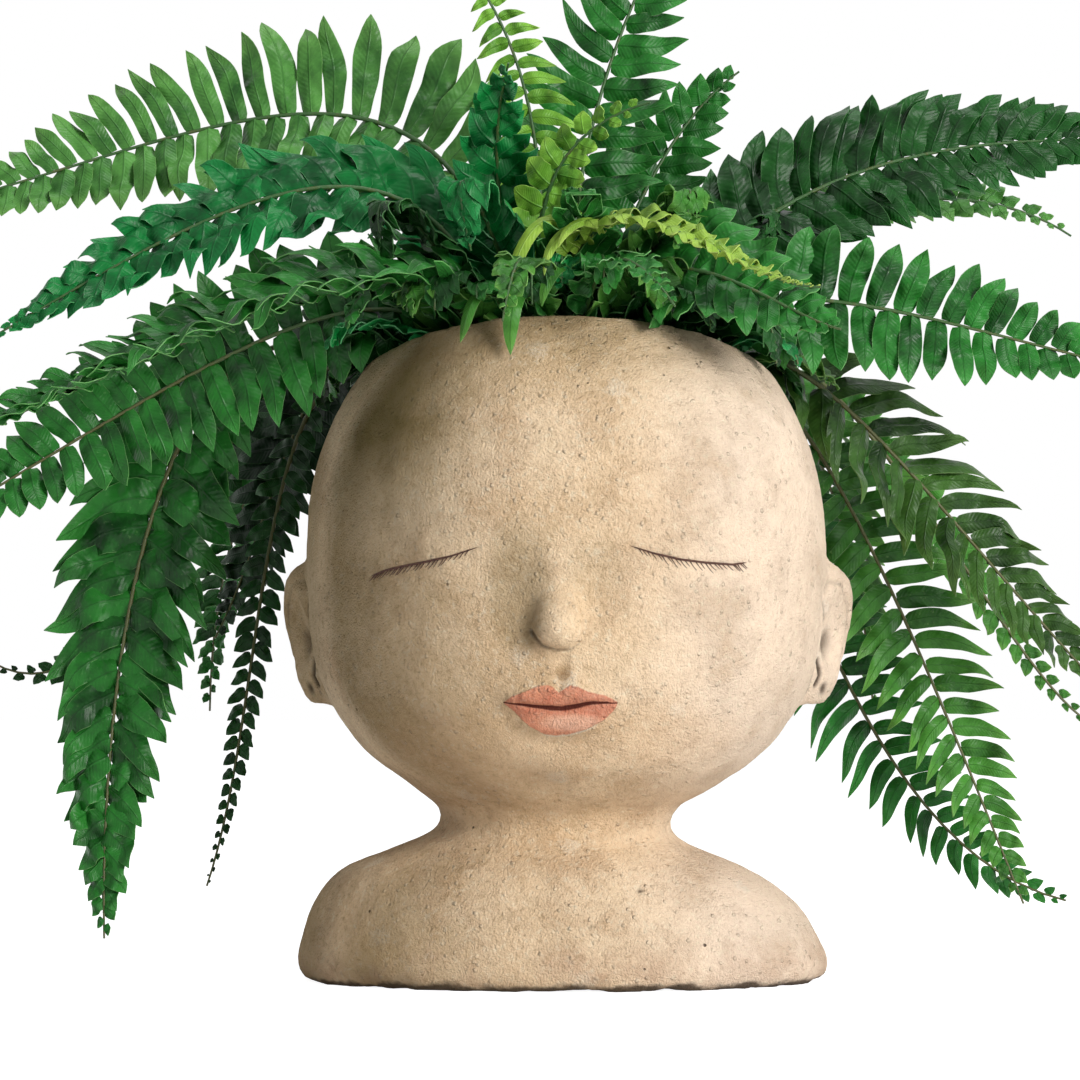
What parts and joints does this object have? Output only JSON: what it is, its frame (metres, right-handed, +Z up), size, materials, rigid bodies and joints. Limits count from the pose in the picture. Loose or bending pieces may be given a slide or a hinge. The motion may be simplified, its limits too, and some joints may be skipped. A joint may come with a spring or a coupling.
{
  "type": "head planter",
  "caption": "Bust-shaped cast stone planter with closed eyes and an open skull that holds a fern in a lift-out nursery pot.",
  "frame": {"origin": "the middle of the drain hole's mouth in the flat base", "axes": "+Z up, the drain hole leaves along -Z, the face looks along -Y"},
  "size_m": [0.5532, 0.416, 0.4916],
  "materials": {
    "cast_stone": "sand-cast, matt",
    "liner_plastic": "satin",
    "potting_mix": "crumbly",
    "crown_fibre": "fibrous",
    "leaf_light": "waxy leaf",
    "leaf_yellow": "waxy leaf",
    "leaf_emerald": "waxy leaf",
    "leaf_mid": "waxy leaf",
    "leaf_dark": "waxy leaf"
  },
  "bodies": {
    "planter": {"bust_base": "cast_stone", "head_shell": "cast_stone"},
    "fern": {"nursery_pot": "liner_plastic", "potting_mix": "potting_mix", "fern_crown": "crown_fibre", "frond_back_left": "leaf_mid", "frond_back_low_left": "leaf_mid", "frond_back_low_right": "leaf_mid", "frond_back_middle": "leaf_mid", "frond_back_right": "leaf_mid", "frond_front_left": "leaf_mid", "frond_front_right": "leaf_mid", "frond_left_far": "leaf_dark", "frond_left_front": "leaf_mid", "frond_left_hanging": "leaf_mid", "frond_left_low": "leaf_dark", "frond_left_middle": "leaf_emerald", "frond_left_shaded": "leaf_dark", "frond_left_thin": "leaf_dark", "frond_left_upper": "leaf_light", "frond_right_far": "leaf_mid", "frond_right_front": "leaf_mid", "frond_right_hanging": "leaf_mid", "frond_right_high": "leaf_dark", "frond_right_low": "leaf_mid", "frond_right_middle": "leaf_mid", "frond_right_pale": "leaf_light", "frond_right_trailing": "leaf_mid", "frond_right_yellow": "leaf_yellow", "frond_top_back": "leaf_mid", "frond_top_curled": "leaf_dark", "frond_top_round": "leaf_light", "frond_top_slim": "leaf_light", "frond_top_tall": "leaf_mid"}
  },
  "joints": [
    {"name": "fern_lift", "type": "slide", "parent": "planter", "child": "fern", "axis": [0, 0, 1], "range_m": [0, 0.3]}
  ]
}
